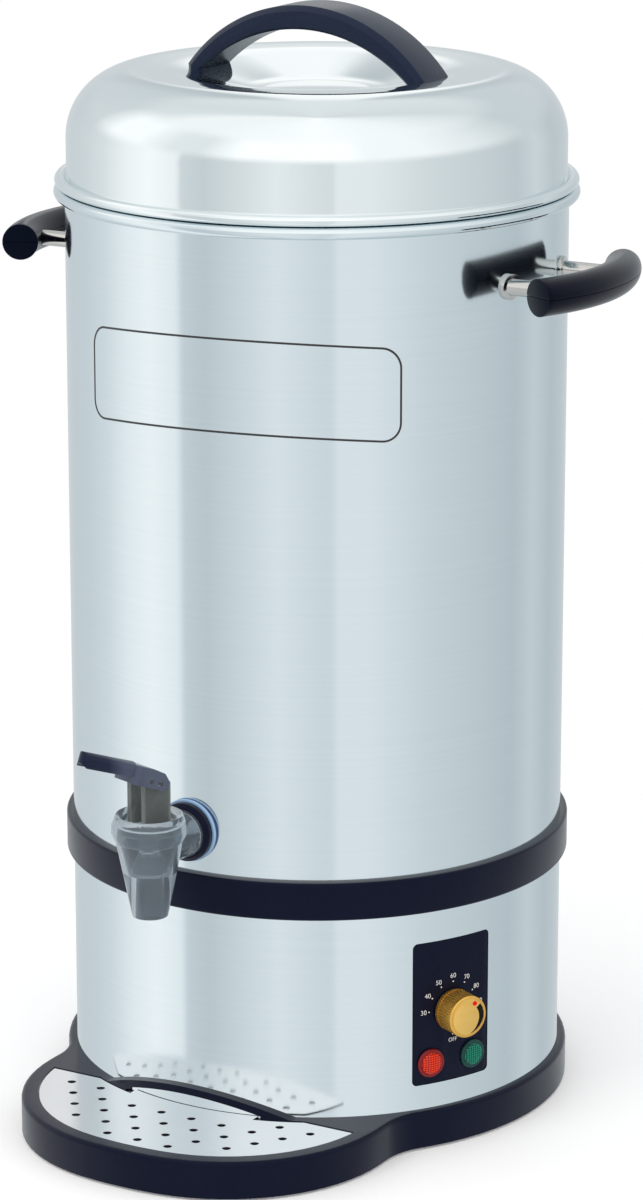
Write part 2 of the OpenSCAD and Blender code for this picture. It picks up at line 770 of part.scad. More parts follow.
// A lens in its bezel on side s of the panel's middle line
module lens(s) {
    on_wall(panel_angle + s * lamp_angle, lamp_z) translate([0, 0, tank_r]) rotate_extrude() polygon([
        [0, -2], [lamp_d / 2 - 1.2, -2], [lamp_d / 2 - 1.2, 1.4], [lamp_d / 2 - 2.4, 2.4], [0, 2.8]]);
}

module red_lens() color("#c22a2a") lens(-1);
module green_lens() color("#2f9a55") lens(1);

module lamp_bezels() {
    color("#3a3d44") for (s = [-1, 1]) on_wall(panel_angle + s * lamp_angle, lamp_z)
        translate([0, 0, panel_face_r + 0.05]) difference() {
            rotate_extrude() polygon([[0, 0], [lamp_d / 2 + 0.8, 0], [lamp_d / 2 + 0.8, 0.8],
                [lamp_d / 2 + 0.2, 1.5], [0, 1.5]]);
            translate([0, 0, -1]) cylinder(d = lamp_d - 2.3, h = 4);
        }
}

module lamp_bodies() {
    color("#d9d9d2") for (s = [-1, 1]) on_wall(panel_angle + s * lamp_angle, lamp_z)
        translate([0, 0, panel_back_r - 16])
            cylinder(d = lamp_d - 2.2, h = tank_r - 2.1 - panel_back_r + 16);
}

// Heating, under the tank floor

module element_plate() {
    color("#b9bcbf") translate([0, 0, tank_floor_z - element_plate_t])
        cylinder(r = element_plate_r, h = element_plate_t);
}

module heating_element() {
    tube_z = tank_floor_z - element_plate_t - element_d / 2 - 0.05;
    color("#4a4440") {
        translate([0, 0, tube_z]) rotate([0, 0, 105]) rotate_extrude(angle = 330)
            translate([element_r, 0]) circle(d = element_d);
        for (a = [105, 75]) rotate([0, 0, a]) translate([element_r, 0, tube_z]) {
            translate([0, 0, -cold_end]) cylinder(d = element_d + 1.5, h = cold_end + element_d / 2 - 0.6);
            translate([0, 0, -cold_end - 8]) cylinder(d = 3, h = 10);
        }
    }
}

module sensor_bulb() {
    color("#b87333") translate([-bulb_len / 2, bulb_y, tank_floor_z - element_plate_t - bulb_d / 2 - 0.05])
        rotate([0, 90, 0]) cylinder(d = bulb_d, h = bulb_len);
}

module safety_cutout() {
    color("#2b2b2b") translate([0, -cutout_y, tank_floor_z - element_plate_t - cutout_h]) {
        cylinder(d = cutout_d, h = cutout_h);
        translate([0, 0, cutout_h - 1.2]) linear_extrude(1.2) round_rect(2 * cutout_d + 2, 10, 4);
    }
}

module terminal_block() {
    color("#e8e6df") on_wall(180, gland_z + 10) translate([0, 20, tank_r - sheet - 16.6]) difference() {
        linear_extrude(15.2) square([terminal_w, terminal_h], center = true);
        for (x = [-1, 0, 1] * terminal_w / 3) translate([x, 0, -1]) cylinder(d = 5, h = 9);
    }
}

module cable_gland() {
    color("#1d1f23") on_wall(180, gland_z) difference() {
        translate([0, 0, tank_r]) rotate_extrude() polygon([[0, -12], [gland_bore_d / 2 + 3.8, -12],
            [gland_bore_d / 2 + 3.8, 0.2], [gland_bore_d / 2 + 7, 0.2], [gland_bore_d / 2 + 7, 4],
            [gland_bore_d / 2 + 4.5, 11], [0, 11]]);
        cylinder(d = gland_bore_d, h = far);
    }
}

module gland_nut() {
    color("#1d1f23") on_wall(180, gland_z) difference() {
        translate([0, 0, tank_r - sheet - 6.3]) cylinder(r = gland_bore_d / 2 + 8.5, h = 5, $fn = 6);
        cylinder(r = gland_bore_d / 2 + 3.85, h = far);
    }
}

// Tap

module tap_washer() {
    color("#7fb2dd") difference() {
        on_wall(0, tap_z) translate([0, 0, tank_r - 5]) cylinder(d = washer_d, h = washer_t + 5);
        cylinder(r = tank_r, h = far, $fn = 720);
        on_wall(0, tap_z) cylinder(d = shank_d + 0.2, h = far);
    }
}

module tap_collar() {
    color(black) on_wall(0, tap_z) translate([0, 0, collar_y]) difference() {
        rotate_extrude() polygon([[0, 0], [washer_d / 2 - 1, 0], [washer_d / 2 - 1, collar_t - 1.5],
            [washer_d / 2 - 3, collar_t], [0, collar_t]]);
        translate([0, 0, -1]) cylinder(d = shank_d + 0.2, h = far);
    }
}

// Filled half section of the tapered body, drawn in by d
module cup_section(d) {
    polygon([[0, spout_z - 1], [spout_r - d, spout_z - 1], [spout_r - d, spout_z], [cup_r - d, cup_top - 2],
        [cup_r - d, cup_top], [0, cup_top]]);
}

module tap_body() {
    color(smoke) translate([0, -tap_reach, 0]) difference() {
        union() {
            rotate_extrude() intersection() {
                cup_section(0);
                translate([0, spout_z]) square(far);
            }
            translate([0, 0, cup_top - eps]) cylinder(r = neck_ring_r, h = guide_z - cup_top);
            translate([0, 0, tap_z]) rotate([-90, 0, 0]) {
                cylinder(r1 = shank_d / 2, r2 = washer_d / 2 - 4, h = tap_reach - neck_y);
                cylinder(d = shank_d, h = tap_reach - tank_r + 24);
            }
        }
        rotate_extrude() {
            intersection() {
                cup_section(cup_wall);
                translate([0, seat_z]) square(far);
            }
            translate([0, spout_z - 1]) square([spout_r - cup_wall, seat_z - spout_z + 2]);
            translate([0, cup_top - 1]) square([cup_r - 2 * cup_wall, guide_z]);
        }
        translate([0, 0, tap_z]) rotate([-90, 0, 0]) cylinder(d = passage_d, h = far);
        tube(bonnet_r + lever_gap, neck_ring_r, cup_top, far);
    }
}

module tap_inner_seal() {
    color("#d8d8d4") difference() {
        intersection() {
            on_wall(0, tap_z) translate([0, 0, tank_r - sheet - 4]) cylinder(d = washer_d, h = 5);
            cylinder(r = tank_r - sheet, h = far, $fn = 720);
        }
        on_wall(0, tap_z) cylinder(d = shank_d + 0.2, h = far);
    }
}

module tap_nut() {
    color("#e7e5df") on_wall(0, tap_z) translate([0, 0, tank_r - sheet - 4 - 9]) difference() {
        cylinder(r = washer_d / 2 - 1, h = 9, $fn = 6);
        translate([0, 0, -1]) cylinder(d = shank_d + 0.1, h = 12);
    }
}

module tap_bonnet() {
    clamp_z = guide_z + guide_t + 0.1 - cup_top;
    color(smoke) translate([0, -tap_reach, cup_top]) rotate_extrude()
        polygon([[neck_ring_r + 0.1, 0.2], [cup_r + 0.6, 0.2], [bonnet_r, 4.5], [bonnet_r, bonnet_h - 6],
            [bonnet_r - 2.2, bonnet_h], [bonnet_r - 3.4, bonnet_h], [bonnet_r - 5.9, bonnet_h - 4.4],
            [bonnet_r - 5.9, clamp_z], [neck_ring_r + 0.1, clamp_z]]);
}

// Children in the lever's frame: origin on the tap's axis, local -Y towards the lever's tip
module at_tap() {
    translate([0, -tap_reach, 0]) rotate([0, 0, lever_angle]) children();
}

module fork_bracket() {
    top = pivot_z + pivot_d / 2 + 1;
    color("#3c444c") at_tap() difference() {
        union() {
            translate([0, 0, guide_z + eps]) cylinder(r = cup_r - cup_wall, h = guide_t);
            translate([-fork_w / 2, -fork_depth / 2, guide_z + eps])
                cube([fork_w, fork_depth, top - guide_z]);
        }
        translate([-fork_channel / 2, -fork_depth, guide_z + guide_t + 1])
            cube([fork_channel, 2 * fork_depth, far]);
        translate([0, -pivot_out, pivot_z]) rotate([-lever_tilt - 2, 0, 0])
            translate([-far, -1, pivot_d / 2 + 1]) cube([2 * far, far, far]);
        translate([-far, -pivot_out, pivot_z]) rotate([0, 90, 0]) cylinder(d = pivot_d, h = 2 * far);
        for (z = [link_z - 0.3, link_z + 3.4]) translate([-far, 0, z]) rotate([0, 90, 0])
            cylinder(d = stem_pin_d + 0.8, h = 2 * far);
        translate([-far, -stem_pin_d / 2 - 0.4, link_z - 0.3]) cube([2 * far, stem_pin_d + 0.8, 3.7]);
        cylinder(d = stem_d + 2 * run_gap, h = far);
    }
}

module lever_pin() {
    color("silver") at_tap() translate([-head_w / 2, -pivot_out, pivot_z]) rotate([0, 90, 0])
        cylinder(d = pivot_d, h = head_w);
}

module valve_stem() {
    color("#e7e5df") translate([0, -tap_reach, 0]) difference() {
        translate([0, 0, seat_z + 4]) cylinder(d = stem_d, h = link_z + 2.2 - seat_z - 4);
        rotate([0, 0, lever_angle]) translate([-far, 0, link_z]) rotate([0, 90, 0])
            cylinder(d = stem_pin_d, h = 2 * far);
    }
}

module stem_pin() {
    color("silver") at_tap() translate([-head_w / 2, 0, link_z]) rotate([0, 90, 0])
        cylinder(d = stem_pin_d, h = head_w);
}

module seat_cup() {
    color("#d9d4c8") translate([0, -tap_reach, seat_z + seat_gap]) difference() {
        rotate_extrude() polygon([[0, 0], [9, 0], [9.5, 0.5], [9.5, 4], [6.5, seat_cup_h], [0, seat_cup_h]]);
        translate([0, 0, 3.5]) cylinder(d = stem_d, h = far);
    }
}

// One unbroken wire wound about the stem: rings of points along a helix
spring_rings = spring_turns * 8;
spring_sides = 6;
function spring_point(i, k) = let (
    t = i / spring_rings,
    a = 360 * spring_turns * t,
    b = 360 * k / spring_sides,
    r = spring_r + spring_wire / 2 * cos(b))
    [r * cos(a), r * sin(a), spring_low + (spring_high - spring_low) * t + spring_wire / 2 * sin(b)];
spring_pitch = (spring_high - spring_low) / spring_turns;
echo(spring_gap = spring_pitch - spring_wire);

module return_spring() {
    points = [for (i = [0 : spring_rings], k = [0 : spring_sides - 1]) spring_point(i, k)];
    last = spring_rings * spring_sides;
    faces = concat(
        [for (k = [1 : spring_sides - 2]) [0, k, k + 1]],
        [for (k = [1 : spring_sides - 2]) [last, last + k + 1, last + k]],
        [for (i = [0 : spring_rings - 1], k = [0 : spring_sides - 1])
            [i * spring_sides + k, (i + 1) * spring_sides + k, i * spring_sides + (k + 1) % spring_sides]],
        [for (i = [0 : spring_rings - 1], k = [0 : spring_sides - 1])
            [i * spring_sides + (k + 1) % spring_sides, (i + 1) * spring_sides + k,
            (i + 1) * spring_sides + (k + 1) % spring_sides]]);
    color("silver") translate([0, -tap_reach, 0]) polyhedron(points, faces, convexity = 8);
}

// Side view of the lever's head about its pivot, tip towards -x
module head_outline() {
    back = link_arm + head_tail;
    polygon([[-9, -head_drop], [back - 2.5, -head_drop], [back, -1], [back - 1, 2.5],
        [back - 5, 5.8], [0, 7], [-9, 7]]);
}

module tap_lever() {
    color("#2a2f3c") at_tap() translate([0, -pivot_out, pivot_z]) rotate([-lever_tilt, 0, 0]) difference() {
        union() {
            difference() {
                translate([-head_w / 2, 0, 0]) rotate([90, 0, 90]) linear_extrude(head_w) head_outline();
                translate([-fork_w / 2 - lever_gap, -7, -far + 3.4])
                    cube([fork_w + 2 * lever_gap, far, far]);
            }
            intersection() {
                translate([0, -8, 3]) rotate([90, 0, 0]) linear_extrude(lever_len - 8) difference() {
                    circle(5.2);
                    translate([0, -6.5]) circle(5.2);
                }
                translate([0, -lever_len + 5.2, -far]) union() {
                    cylinder(r = 5.2, h = 2 * far);
                    translate([-far, 0, 0]) cube([2 * far, far, 2 * far]);
                }
            }
        }
        translate([-far, 0, 0]) rotate([0, 90, 0]) cylinder(d = pivot_d + 2 * run_gap, h = 2 * far);
        for (y = [-0.5, 0.5]) translate([-far, link_arm + y, 0]) rotate([0, 90, 0])
            cylinder(d = stem_pin_d + 0.4, h = 2 * far);
        translate([-far, link_arm - 0.5, -stem_pin_d / 2 - 0.2]) cube([2 * far, 1, stem_pin_d + 0.4]);
    }
}

tank_shell();
belt_ring();
joint_band();
base_skirt();
base_moulding();
bottom_cover();
base_screws();
feet();
drip_plate();
lid_shell();
lid_handle();
lid_handle_screws();
left_posts();
right_posts();
left_grip_upper();
left_grip_lower();
right_grip_upper();
right_grip_lower();
handle_screws();
control_panel();
thermostat();
thermostat_nut();
thermostat_shaft();
knob();
knob_face();
red_lens();
green_lens();
lamp_bezels();
lamp_bodies();
element_plate();
heating_element();
sensor_bulb();
safety_cutout();
terminal_block();
cable_gland();
gland_nut();
tap_washer();
tap_collar();
tap_body();
tap_inner_seal();
tap_nut();
tap_bonnet();
fork_bracket();
valve_stem();
stem_pin();
seat_cup();
return_spring();
tap_lever();
lever_pin();
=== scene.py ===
import json
import math
import bpy
from mathutils import Matrix, Vector

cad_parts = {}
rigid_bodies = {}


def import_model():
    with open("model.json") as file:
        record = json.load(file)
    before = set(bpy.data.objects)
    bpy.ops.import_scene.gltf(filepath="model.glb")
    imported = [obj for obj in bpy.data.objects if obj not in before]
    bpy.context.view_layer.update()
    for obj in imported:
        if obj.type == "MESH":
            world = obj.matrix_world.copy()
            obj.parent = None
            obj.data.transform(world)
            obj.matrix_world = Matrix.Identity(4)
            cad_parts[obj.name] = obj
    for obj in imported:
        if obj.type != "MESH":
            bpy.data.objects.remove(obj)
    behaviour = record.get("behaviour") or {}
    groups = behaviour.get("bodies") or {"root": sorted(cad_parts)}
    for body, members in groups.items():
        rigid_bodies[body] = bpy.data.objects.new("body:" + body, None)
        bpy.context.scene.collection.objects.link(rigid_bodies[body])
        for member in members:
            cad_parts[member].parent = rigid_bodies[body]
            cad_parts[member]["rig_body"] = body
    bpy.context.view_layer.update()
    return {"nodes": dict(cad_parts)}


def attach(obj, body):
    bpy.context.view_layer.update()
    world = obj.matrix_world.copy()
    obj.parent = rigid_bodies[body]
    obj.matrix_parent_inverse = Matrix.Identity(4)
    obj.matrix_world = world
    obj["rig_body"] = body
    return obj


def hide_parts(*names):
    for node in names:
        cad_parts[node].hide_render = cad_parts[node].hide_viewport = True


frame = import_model()
nodes = frame["nodes"]
print("frame loaded:", len(nodes), "nodes")

scene = bpy.context.scene
scene.view_settings.view_transform = "Standard"

# limits for every mesh: distances in metres, angles in degrees
meshRules = {"weldTurned": 1e-6, "weldCad": 2e-6, "flat": 0.6, "corner": 38, "smooth": 35, "turnedSmooth": 40,
             "turnedSteps": 240}


# picking and mesh helpers

def pickNone():
    if bpy.context.object and bpy.context.object.mode != "OBJECT":
        bpy.ops.object.mode_set(mode="OBJECT")
    bpy.ops.object.select_all(action="DESELECT")


def pickOnly(piece):
    pickNone()
    piece.select_set(True)
    bpy.context.view_layer.objects.active = piece


def applyAll(piece):
    pickOnly(piece)
    for m in list(piece.modifiers):
        bpy.ops.object.modifier_apply(modifier=m.name)


def smoothEdges(piece, angle=meshRules["smooth"]):
    pickOnly(piece)
    bpy.ops.object.shade_smooth_by_angle(angle=math.radians(angle))


def settle(piece, name, finish, body, stands=()):
    # name, finish and place of a finished piece
    piece.name = name
    piece.data.name = name
    piece.data.materials.clear()
    piece.data.materials.append(finish)
    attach(piece, body)
    if stands:
        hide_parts(*stands)
    return piece


def lineFrom(points, closed=False):
    # a poly line as a mesh object, points in metres
    curve = bpy.data.curves.new("line", "CURVE")
    curve.dimensions = "3D"
    spline = curve.splines.new("POLY")
    spline.points.add(len(points) - 1)
    for p, c in zip(spline.points, points):
        p.co = (*c, 1)
    spline.use_cyclic_u = closed
    piece = bpy.data.objects.new("line", curve)
    scene.collection.objects.link(piece)
    pickOnly(piece)
    bpy.ops.object.convert(target="MESH")
    return bpy.context.object


def turned(profile, closed=False):
    # a section of (radius, height) in mm, spun about the tank's axis
    piece = lineFrom([(r / 1000, 0, z / 1000) for r, z in profile], closed)
    bpy.ops.object.mode_set(mode="EDIT")
    bpy.ops.mesh.select_all(action="SELECT")
    bpy.ops.mesh.spin(steps=meshRules["turnedSteps"], angle=2 * math.pi, center=(0, 0, 0), axis=(0, 0, 1))
    bpy.ops.mesh.select_all(action="SELECT")
    bpy.ops.mesh.remove_doubles(threshold=meshRules["weldTurned"])
    bpy.ops.mesh.normals_make_consistent(inside=False)
    bpy.ops.object.mode_set(mode="OBJECT")
    return piece


def arcPoints(cx, cy, r, start, end, count):
    # degrees, counter-clockwise from +x
    angles = [math.radians(start + (end - start) * i / count) for i in range(count + 1)]
    return [(cx + r * math.cos(a), cy + r * math.sin(a)) for a in angles]


def dressed(nodeName, name, finish, bevel=0.0, segments=2, angle=meshRules["smooth"], flatten=True, weighted=False):
    # a welded copy of a CAD node that stands in for it, bevel in mm
    node = nodes[nodeName]
    piece = bpy.data.objects.new(name, node.data.copy())
    scene.collection.objects.link(piece)
    pickOnly(piece)
    bpy.ops.object.mode_set(mode="EDIT")
    bpy.ops.mesh.select_all(action="SELECT")
    bpy.ops.mesh.customdata_custom_splitnormals_clear()
    bpy.ops.mesh.remove_doubles(threshold=meshRules["weldCad"])
    if flatten:
        bpy.ops.mesh.dissolve_limited(angle_limit=math.radians(meshRules["flat"]))
    bpy.ops.object.mode_set(mode="OBJECT")
    if bevel:
        m = piece.modifiers.new("softEdge", "BEVEL")
        m.width = bevel / 1000
        m.segments = segments
        m.limit_method = "ANGLE"
        m.angle_limit = math.radians(meshRules["corner"])
        m.use_clamp_overlap = True
        m.harden_normals = False
        applyAll(piece)
    smoothEdges(piece, angle)
    if weighted:
        m = piece.modifiers.new("evenShade", "WEIGHTED_NORMAL")
        m.keep_sharp = True
        applyAll(piece)
    return settle(piece, name, finish, node["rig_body"], (nodeName,))


# finishes

# spread: the part of a noise that is used, depth: of the relief in metres,
# ridge and pitch: of the lamp lenses' moulded grid, pitch in mm across and up
grainRules = {"spread": (0.3, 0.7), "detail": 3.0, "depth": 0.0002, "ridge": (-0.9, 0.1), "pitch": (1.5, 1.3)}


def newFinish(name):
    finish = bpy.data.materials.new(name)
    finish.use_nodes = True
    tree = finish.node_tree
    tree.nodes.clear()
    out = tree.nodes.new("ShaderNodeOutputMaterial")
    shader = tree.nodes.new("ShaderNodeBsdfPrincipled")
    tree.links.new(shader.outputs["BSDF"], out.inputs["Surface"])
    return finish, tree, shader


def objectGrain(tree, scale, stretch, detail):
    # noise on object coordinates
    place = tree.nodes.new("ShaderNodeTexCoord")
    turn = tree.nodes.new("ShaderNodeMapping")
    turn.inputs["Scale"].default_value = stretch
    noise = tree.nodes.new("ShaderNodeTexNoise")
    noise.inputs["Scale"].default_value = scale
    noise.inputs["Detail"].default_value = detail
    tree.links.new(place.outputs["Object"], turn.inputs["Vector"])
    tree.links.new(turn.outputs["Vector"], noise.inputs["Vector"])
    return noise.outputs["Fac"]


def mapped(tree, value, start, end, low=0.0, high=1.0, eased=False):
    # a value between start and end, carried over to low and high
    m = tree.nodes.new("ShaderNodeMapRange")
    if eased:
        m.interpolation_type = "SMOOTHSTEP"
    m.inputs["From Min"].default_value = start
    m.inputs["From Max"].default_value = end
    m.inputs["To Min"].default_value = low
    m.inputs["To Max"].default_value = high
    tree.links.new(value, m.inputs["Value"])
    return m.outputs["Result"]


def ramped(tree, value, marks):
    # colours at places between 0 and 1
    ramp = tree.nodes.new("ShaderNodeValToRGB")
    stops = ramp.color_ramp.elements
    for i, (place, colour) in enumerate(marks):
        stop = stops[i] if i < 2 else stops.new(place)  # a new ramp has two stops
        stop.position = place
        stop.color = (*colour, 1)
    tree.links.new(value, ramp.inputs["Fac"])
    return ramp.outputs["Color"]


def alongDirection(tree, place, direction):
    run = tree.nodes.new("ShaderNodeVectorMath")
    run.operation = "DOT_PRODUCT"
    run.inputs[1].default_value = direction
    tree.links.new(place, run.inputs[0])
    return run.outputs["Value"]


def tint(tree, value, dark, light):
    m = tree.nodes.new("ShaderNodeMix")
    m.data_type = "RGBA"
    m.inputs["A"].default_value = (*dark, 1)
    m.inputs["B"].default_value = (*light, 1)
    tree.links.new(value, m.inputs["Factor"])
    return m.outputs["Result"]


def relief(tree, shader, value, strength):
    b = tree.nodes.new("ShaderNodeBump")
    b.inputs["Strength"].default_value = strength
    b.inputs["Distance"].default_value = grainRules["depth"]
    tree.links.new(value, b.inputs["Height"])
    tree.links.new(b.outputs["Normal"], shader.inputs["Normal"])


def wave(tree, place, direction, pitch):
    # a smooth wave between 0 and 1 along a direction, pitch in mm
    swing = tree.nodes.new("ShaderNodeMath")
    swing.operation = "SINE"
    run = alongDirection(tree, place, Vector(direction) * (2000 * math.pi / pitch))
    tree.links.new(run, swing.inputs[0])
    return mapped(tree, swing.outputs["Value"], *grainRules["ridge"])


def lensGrid(tree, angle):
    # the moulded grid inside a lamp's lens, on a wall that faces the given angle
    place = tree.nodes.new("ShaderNodeTexCoord").outputs["Object"]
    turnBy = math.radians(angle)
    across, up = grainRules["pitch"]
    cells = tree.nodes.new("ShaderNodeMath")
    cells.operation = "MULTIPLY"
    tree.links.new(wave(tree, place, (math.cos(turnBy), math.sin(turnBy), 0), across), cells.inputs[0])
    tree.links.new(wave(tree, place, (0, 0, 1), up), cells.inputs[1])
    return cells.outputs["Value"]


def bands(tree, direction, marks):
    # colours by place along a direction, marks in mm
    place = tree.nodes.new("ShaderNodeTexCoord").outputs["Object"]
    start, end = marks[0][0], marks[-1][0]
    value = mapped(tree, alongDirection(tree, place, direction), start / 1000, end / 1000)
    return ramped(tree, value, [((at - start) / (end - start), colour) for at, colour in marks])


# the sockets that a finish may set, with their usual values
plainSockets = {"metal": ("Metallic", 0.0), "aniso": ("Anisotropic", 0.0), "anisoTurn": ("Anisotropic Rotation", 0.0),
                "clear": ("Transmission Weight", 0.0), "ior": ("IOR", 1.5), "spec": ("Specular IOR Level", 0.5)}


def makeFinish(name, spec):
    finish, tree, shader = newFinish(name)
    grain = objectGrain(tree, spec["scale"], spec.get("stretch", (1, 1, 1)), spec.get("detail", grainRules["detail"]))
    if "bands" in spec:
        colour = bands(tree, spec["along"], spec["bands"])
    else:
        shade = lensGrid(tree, spec["ribs"]) if "ribs" in spec else grain
        colour = tint(tree, shade, spec["dark"], spec["light"])
    tree.links.new(colour, shader.inputs["Base Color"])
    tree.links.new(mapped(tree, grain, *grainRules["spread"], *spec["rough"]), shader.inputs["Roughness"])
    for key, (socket, usual) in plainSockets.items():
        shader.inputs[socket].default_value = spec.get(key, usual)
    shader.inputs["Specular Tint"].default_value = (*spec.get("specTint", (1, 1, 1)), 1)
    if "relief" in spec:
        relief(tree, shader, grain, spec["relief"])
    return finish


# directions that bands run along: to the right on the panel, outwards along the lever, up and to the front
panelAngle = 62.5
panelRight = (0.4617, 0.887, 0)
leverOut = (-0.3256, -0.9455, 0)
upwards = (0, 0, 1)
frontwards = (0, -1, 0)

finishSpecs = {
    "satinSteel": {"dark": (0.665, 0.75, 0.785), "light": (0.70, 0.785, 0.82), "rough": (0.10, 0.12), "metal": 1,
                   "scale": 3, "stretch": (1, 1, 220), "detail": 4, "aniso": 0.5, "anisoTurn": 0.25, "relief": 0.003},
    "mirrorSteel": {"dark": (0.75, 0.815, 0.835), "light": (0.79, 0.855, 0.87), "rough": (0.045, 0.065), "metal": 1,
                    "scale": 9, "relief": 0.004},
    "postSteel": {"dark": (0.50, 0.50, 0.48), "light": (0.62, 0.62, 0.60), "rough": (0.08, 0.12), "metal": 1,
                  "scale": 40, "relief": 0.004},
    # painted shade: below the plate's top face, its hole walls and edges are near black, the top face light steel
    "plateSteelHoleShade": {"rough": (0.20, 0.25), "metal": 1, "scale": 40, "relief": 0.01, "along": upwards,
                   "bands": [(21.6, (0.02, 0.02, 0.025)), (21.78, (0.84, 0.85, 0.86))]},
    "blackGloss": {"dark": (0.0035, 0.0045, 0.014), "light": (0.005, 0.0065, 0.018), "rough": (0.20, 0.26),
                   "scale": 260, "spec": 0.5, "specTint": (0.12, 0.15, 0.24), "relief": 0.02},
    "strapNavy": {"dark": (0.012, 0.017, 0.034), "light": (0.017, 0.024, 0.045), "rough": (0.24, 0.28), "scale": 700,
                  "spec": 0.5, "specTint": (0.15, 0.20, 0.34), "relief": 0.01},
    "gripBlack": {"dark": (0.002, 0.003, 0.008), "light": (0.003, 0.004, 0.010), "rough": (0.22, 0.26), "scale": 900,
                  "spec": 0.5, "specTint": (0.05, 0.075, 0.14), "relief": 0.015},
    "panelNavy": {"dark": (0.004, 0.005, 0.015), "light": (0.006, 0.007, 0.02), "rough": (0.25, 0.32), "scale": 500,
                  "spec": 0.12, "specTint": (0.6, 0.7, 1.0), "relief": 0.02},
    "printWhite": {"dark": (0.80, 0.80, 0.80), "light": (0.86, 0.86, 0.86), "rough": (0.45, 0.55), "scale": 500},
    "printBlack": {"dark": (0.012, 0.012, 0.014), "light": (0.02, 0.02, 0.022), "rough": (0.35, 0.45), "scale": 300},
    "goldSide": {"dark": (0.74, 0.42, 0.08), "light": (0.88, 0.55, 0.13), "rough": (0.46, 0.52), "metal": 1,
                 "scale": 200, "relief": 0.01},
    "goldFace": {"dark": (0.88, 0.54, 0.14), "light": (0.95, 0.62, 0.19), "rough": (0.30, 0.36), "metal": 1,
                 "scale": 30, "stretch": (1, 1, 8), "relief": 0.01},
    "dotRed": {"dark": (0.72, 0.006, 0.006), "light": (0.80, 0.012, 0.008), "rough": (0.3, 0.36), "scale": 60,
               "spec": 0.1},
    "lampRed": {"dark": (0.30, 0.008, 0.008), "light": (0.90, 0.055, 0.008), "rough": (0.12, 0.16), "scale": 420,
                "spec": 0.2, "ribs": panelAngle},
    "lampGreen": {"dark": (0.003, 0.06, 0.045), "light": (0.01, 0.26, 0.16), "rough": (0.12, 0.16), "scale": 420,
                  "spec": 0.2, "ribs": panelAngle},
    "lampRim": {"rough": (0.10, 0.14), "scale": 300, "spec": 0.3, "along": panelRight,
                "bands": [(-3, (0.20, 0.006, 0.009)), (3, (0.003, 0.045, 0.04))]},
    "smokeClear": {"dark": (0.27, 0.33, 0.385), "light": (0.36, 0.425, 0.48), "rough": (0.06, 0.10), "scale": 60,
                   "clear": 0.8, "ior": 1.35, "spec": 0.5, "relief": 0.004},
    "smokeDark": {"dark": (0.10, 0.115, 0.11), "light": (0.15, 0.165, 0.16), "rough": (0.08, 0.12), "scale": 120,
                  "clear": 0.45, "ior": 1.4, "spec": 0.5, "relief": 0.004},
    "pinDark": {"dark": (0.03, 0.036, 0.046), "light": (0.05, 0.058, 0.07), "rough": (0.25, 0.35), "scale": 200},
    # painted shade: near black, for the crescent of the knob's recess that lies in shade
    "paintedRecessShade": {"dark": (0.006, 0.005, 0.004), "light": (0.009, 0.007, 0.005), "rough": (0.3, 0.36), "scale": 60,
                   "spec": 0.1},
    # painted highlight: the lever runs from lighter slate near its head to dark navy at its tip
    "leverHeadHighlight": {"rough": (0.16, 0.24), "scale": 220, "along": leverOut, "spec": 0.5,
                  "specTint": (0.3, 0.36, 0.55), "relief": 0.006,
                  "bands": [(178, (0.085, 0.10, 0.14)), (192, (0.06, 0.07, 0.11)), (202, (0.012, 0.014, 0.035)),
                            (224, (0.006, 0.007, 0.02))]},
    # painted shade: the washer's two edges, against the tank and against the collar, are dark navy, its middle light
    # blue
    "washerShadedEdges": {"rough": (0.4, 0.5), "scale": 250, "along": frontwards, "relief": 0.02,
                   "bands": [(139.8, (0.02, 0.04, 0.12)), (140.5, (0.02, 0.04, 0.12)), (140.8, (0.30, 0.50, 0.80)),
                             (142.4, (0.36, 0.57, 0.82)), (142.7, (0.02, 0.04, 0.12)), (143.6, (0.01, 0.02, 0.06))]},
    "sealWhite": {"dark": (0.70, 0.69, 0.66), "light": (0.80, 0.79, 0.76), "rough": (0.4, 0.5), "scale": 250},
    "plainSteel": {"dark": (0.55, 0.56, 0.58), "light": (0.66, 0.67, 0.69), "rough": (0.25, 0.35), "metal": 1,
                   "scale": 120, "relief": 0.02},
    "footRubber": {"dark": (0.02, 0.02, 0.02), "light": (0.035, 0.035, 0.035), "rough": (0.7, 0.85), "scale": 600,
                   "relief": 0.1},
    "coverGrey": {"dark": (0.16, 0.16, 0.17), "light": (0.22, 0.22, 0.23), "rough": (0.5, 0.6), "scale": 300,
                  "relief": 0.05},
    "glandBlack": {"dark": (0.015, 0.015, 0.018), "light": (0.03, 0.03, 0.034), "rough": (0.45, 0.55), "scale": 500,
                   "relief": 0.06},
    "controlGrey": {"dark": (0.42, 0.42, 0.40), "light": (0.52, 0.52, 0.50), "rough": (0.5, 0.6), "scale": 300,
                    "relief": 0.04},
    "elementDark": {"dark": (0.07, 0.06, 0.055), "light": (0.16, 0.13, 0.11), "rough": (0.4, 0.6), "metal": 0.6,
                    "scale": 90, "relief": 0.05},
    "castPlate": {"dark": (0.55, 0.56, 0.57), "light": (0.68, 0.69, 0.70), "rough": (0.35, 0.5), "metal": 1,
                  "scale": 120, "relief": 0.04},
    "bulbCopper": {"dark": (0.52, 0.24, 0.12), "light": (0.68, 0.36, 0.20), "rough": (0.25, 0.35), "metal": 1,
                   "scale": 80, "relief": 0.02},
}
finishes = {name: makeFinish(name, spec) for name, spec in finishSpecs.items()}
print("finishes made:", len(finishes))


# camera, at the photo's angle

view = {"turn": 30.0, "distance": 2.365, "height": 0.920, "tilt": 15.109, "yaw": 0.0618, "lens": 129.05,
        "sensor": 36, "near": 0.05}

